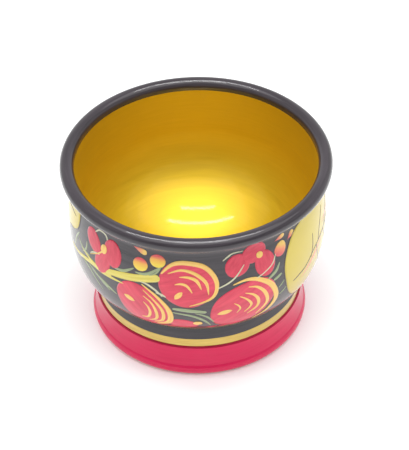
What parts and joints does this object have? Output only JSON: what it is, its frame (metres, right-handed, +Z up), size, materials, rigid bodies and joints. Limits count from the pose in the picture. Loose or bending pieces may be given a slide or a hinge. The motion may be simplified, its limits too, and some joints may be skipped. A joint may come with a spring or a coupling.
{
  "type": "footed painted bowl",
  "caption": "Turned wooden bowl with a rolled rim, a deep round belly, a narrow waist and a flared foot, gilded inside and painted outside.",
  "frame": {"origin": "centre of the foot's underside, on the turning axis, at the level of the surface that the bowl stands on", "axes": "+Z up along the turning axis; -Y towards the side with the three strawberries; +X to that side's right"},
  "size_m": [0.1, 0.1, 0.0725],
  "materials": {
    "bare_wood": "fine turned linden wood, bare",
    "wood_glue": "thin set glue",
    "gold_lacquer": "warm gold under clear gloss lacquer",
    "black_enamel": "black enamel under clear gloss lacquer",
    "red_enamel": "red enamel under clear gloss lacquer",
    "yellow_paint": "brushed yellow enamel under lacquer",
    "green_paint": "pale green brush strokes under lacquer"
  },
  "bodies": {
    "root": {"bowl_body": "bare_wood", "foot_ring": "bare_wood", "glue_film": "wood_glue", "gold_lining": "gold_lacquer", "black_enamel": "black_enamel", "gold_line": "gold_lacquer", "foot_enamel": "red_enamel"}
  },
  "joints": []
}
